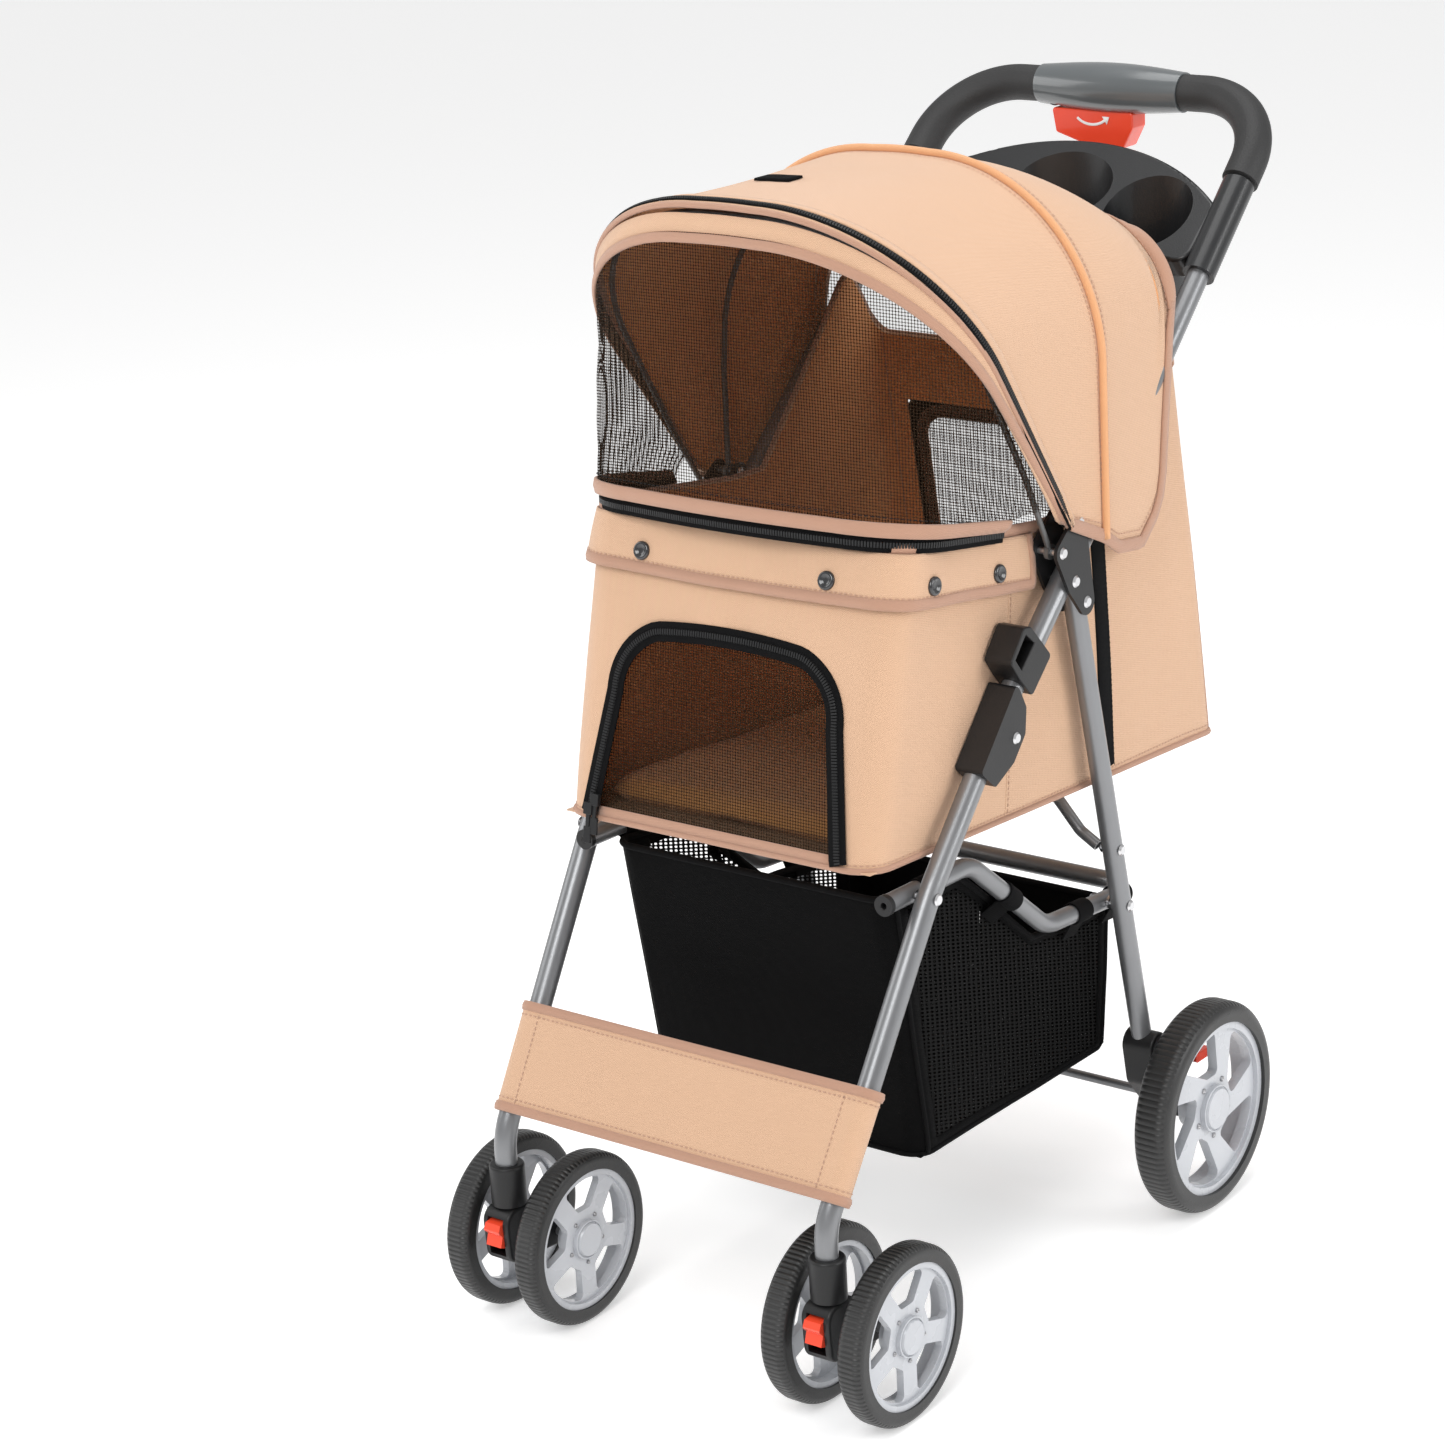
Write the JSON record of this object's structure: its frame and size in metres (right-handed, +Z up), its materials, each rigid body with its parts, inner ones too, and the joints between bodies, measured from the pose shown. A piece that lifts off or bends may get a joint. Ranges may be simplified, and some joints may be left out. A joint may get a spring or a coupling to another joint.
{
  "type": "pet stroller",
  "caption": "Folding pet stroller with a zipped soft cabin, canopy hood, parent tray, storage basket, twin front casters and braked rear wheels.",
  "frame": {"origin": "on the ground, in the middle of the overall width and length", "axes": "+X to the stroller's left, +Y to its rear where the handle is, +Z up"},
  "size_m": [0.454, 0.7786, 0.9636],
  "materials": {
    "silver_tube": "satin silver paint",
    "grey_tube": "dark grey paint",
    "rivet_steel": "domed",
    "black_plastic": "fine grain",
    "red_plastic": "glossy",
    "grip_foam": "closed-cell foam",
    "grip_grey": "glossy",
    "tray_grey": "grained",
    "steel_cable": "plain",
    "spring_wire": "plain",
    "beige_fabric": "woven polyester",
    "black_mesh": "open mesh",
    "black_fabric": "woven polyester",
    "pad_fabric": "padded",
    "fibre_board": "hardboard",
    "snap_metal": "glossy",
    "tyre": "moulded tread",
    "rim_grey": "glossy"
  },
  "bodies": {
    "rear_frame": {"rear_leg_left": "silver_tube", "rear_leg_right": "silver_tube", "rear_axle": "grey_tube", "rear_wheel_housings": "black_plastic", "cabin_support_bar": "grey_tube", "rear_frame_rivets": "rivet_steel"},
    "handle_frame": {"handle_tube": "silver_tube", "hinge_tangs": "black_plastic", "hinge_brackets": "black_plastic", "bracket_rivets": "rivet_steel", "grip_foams": "grip_foam", "grip_shell_upper": "grip_grey", "grip_shell_lower": "grip_grey", "release_cables": "steel_cable", "parent_tray": "tray_grey", "rear_bow": "spring_wire", "hood_rear": "beige_fabric", "cabin_shell": "beige_fabric", "floor_board": "fibre_board", "floor_pad": "pad_fabric", "front_band": "beige_fabric", "snap_fasteners": "snap_metal", "side_webbing": "black_fabric"},
    "front_frame": {"front_leg_left": "silver_tube", "front_leg_right": "silver_tube", "caster_sockets": "black_plastic", "latch_housings": "black_plastic", "front_frame_rivets": "rivet_steel", "front_panel": "beige_fabric"},
    "basket_frame": {"basket_tube": "silver_tube", "basket_tube_caps": "black_plastic", "basket": "black_fabric"},
    "hood_front_half": {"front_bow": "spring_wire", "hood_front": "beige_fabric", "window_panel": "black_mesh"},
    "front_flap": {"front_door": "black_mesh"},
    "rear_flap": {"rear_door": "black_mesh"},
    "trigger": {"release_trigger": "red_plastic"},
    "rear_wheel_left": {"rear_tyre_left": "tyre", "rear_rim_left": "rim_grey"},
    "brake_left": {"brake_pedal_left": "red_plastic"},
    "caster_left": {"caster_fork_left": "black_plastic", "caster_axle_left": "grey_tube"},
    "swivel_lock_left": {"caster_lock_lever_left": "red_plastic"},
    "latch_left": {"latch_loop_left": "black_plastic"},
    "front_wheel_inner_left": {"front_tyre_inner_left": "tyre", "front_rim_inner_left": "rim_grey"},
    "front_wheel_outer_left": {"front_tyre_outer_left": "tyre", "front_rim_outer_left": "rim_grey"},
    "rear_wheel_right": {"rear_tyre_right": "tyre", "rear_rim_right": "rim_grey"},
    "brake_right": {"brake_pedal_right": "red_plastic"},
    "caster_right": {"caster_fork_right": "black_plastic", "caster_axle_right": "grey_tube"},
    "swivel_lock_right": {"caster_lock_lever_right": "red_plastic"},
    "latch_right": {"latch_loop_right": "black_plastic"},
    "front_wheel_inner_right": {"front_tyre_inner_right": "tyre", "front_rim_inner_right": "rim_grey"},
    "front_wheel_outer_right": {"front_tyre_outer_right": "tyre", "front_rim_outer_right": "rim_grey"}
  },
  "joints": [
    {"name": "fold", "type": "hinge", "parent": "rear_frame", "child": "handle_frame", "pos_m": [0, 0.01166, 0.59], "axis": [-1, 0, 0], "range_deg": [0, 104], "deforming": ["cabin_shell", "front_band", "snap_fasteners", "side_webbing", "hood_rear", "hood_front", "window_panel", "front_bow", "rear_bow", "front_door", "rear_door", "basket", "floor_board", "floor_pad"]},
    {"name": "front_fold", "type": "hinge", "parent": "handle_frame", "child": "front_frame", "pos_m": [0, -0.09834, 0.506], "axis": [1, 0, 0], "range_deg": [0, 138.7], "deforming": ["cabin_shell", "front_band", "snap_fasteners", "side_webbing", "hood_rear", "hood_front", "window_panel", "front_bow", "rear_bow", "front_door", "rear_door", "basket", "floor_board", "floor_pad"]},
    {"name": "basket_fold", "type": "hinge", "parent": "rear_frame", "child": "basket_frame", "pos_m": [0, 0.07416, 0.301], "axis": [-1, 0, 0], "range_deg": [0, 41.4], "deforming": ["cabin_shell", "front_band", "snap_fasteners", "side_webbing", "hood_rear", "hood_front", "window_panel", "front_bow", "rear_bow", "front_door", "rear_door", "basket", "floor_board", "floor_pad"]},
    {"name": "hood", "type": "hinge", "parent": "handle_frame", "child": "hood_front_half", "pos_m": [0, -0.02234, 0.64], "axis": [-1, 0, 0], "range_deg": [0, 25], "deforming": ["hood_front", "window_panel", "hood_rear"]},
    {"name": "front_flap_hinge", "type": "hinge", "parent": "handle_frame", "child": "front_flap", "pos_m": [0, -0.26344, 0.4412], "axis": [1, 0, 0], "range_deg": [0, 100]},
    {"name": "rear_flap_hinge", "type": "hinge", "parent": "handle_frame", "child": "rear_flap", "pos_m": [0, 0.25806, 0.4139], "axis": [-1, 0, 0], "range_deg": [0, 100]},
    {"name": "release", "type": "slide", "parent": "handle_frame", "child": "trigger", "axis": [0, 0, 1], "range_m": [0, 0.008], "stiffness_N_per_m": 400, "springref_m": -0.004},
    {"name": "latch_slide_left", "type": "slide", "parent": "handle_frame", "child": "latch_left", "axis": [0, 0.7455, 0.6665], "range_m": [0, 0.012]},
    {"name": "rear_wheel_left_spin", "type": "hinge", "parent": "rear_frame", "child": "rear_wheel_left", "pos_m": [0.21, 0.14166, 0.095], "axis": [1, 0, 0], "continuous": true},
    {"name": "brake_left_press", "type": "hinge", "parent": "rear_frame", "child": "brake_left", "pos_m": [0.174, 0.13766, 0.13], "axis": [-1, 0, 0], "range_deg": [0, 12]},
    {"name": "caster_left_swivel", "type": "hinge", "parent": "front_frame", "child": "caster_left", "pos_m": [0.165, -0.35734, 0.12], "axis": [0, 0, 1], "continuous": true},
    {"name": "swivel_lock_left_slide", "type": "slide", "parent": "caster_left", "child": "swivel_lock_left", "axis": [0, 0, -1], "range_m": [0, 0.006]},
    {"name": "front_wheel_inner_left_spin", "type": "hinge", "parent": "caster_left", "child": "front_wheel_inner_left", "pos_m": [0.1276, -0.31434, 0.075], "axis": [1, 0, 0], "continuous": true},
    {"name": "front_wheel_outer_left_spin", "type": "hinge", "parent": "caster_left", "child": "front_wheel_outer_left", "pos_m": [0.2024, -0.31434, 0.075], "axis": [1, 0, 0], "continuous": true},
    {"name": "latch_slide_right", "type": "slide", "parent": "handle_frame", "child": "latch_right", "axis": [0, 0.7455, 0.6665], "range_m": [0, 0.012]},
    {"name": "rear_wheel_right_spin", "type": "hinge", "parent": "rear_frame", "child": "rear_wheel_right", "pos_m": [-0.21, 0.14166, 0.095], "axis": [1, 0, 0], "continuous": true},
    {"name": "brake_right_press", "type": "hinge", "parent": "rear_frame", "child": "brake_right", "pos_m": [-0.174, 0.13766, 0.13], "axis": [-1, 0, 0], "range_deg": [0, 12]},
    {"name": "caster_right_swivel", "type": "hinge", "parent": "front_frame", "child": "caster_right", "pos_m": [-0.165, -0.35734, 0.12], "axis": [0, 0, 1], "continuous": true},
    {"name": "swivel_lock_right_slide", "type": "slide", "parent": "caster_right", "child": "swivel_lock_right", "axis": [0, 0, -1], "range_m": [0, 0.006]},
    {"name": "front_wheel_inner_right_spin", "type": "hinge", "parent": "caster_right", "child": "front_wheel_inner_right", "pos_m": [-0.1276, -0.31434, 0.075], "axis": [1, 0, 0], "continuous": true},
    {"name": "front_wheel_outer_right_spin", "type": "hinge", "parent": "caster_right", "child": "front_wheel_outer_right", "pos_m": [-0.2024, -0.31434, 0.075], "axis": [1, 0, 0], "continuous": true}
  ],
  "couplings": [
    {"joint": "front_fold", "follows": "fold", "ratio": 1.3331},
    {"joint": "basket_fold", "follows": "fold", "ratio": 0.398},
    {"joint": "latch_slide_left", "follows": "release", "ratio": 1.5},
    {"joint": "latch_slide_right", "follows": "release", "ratio": 1.5}
  ]
}
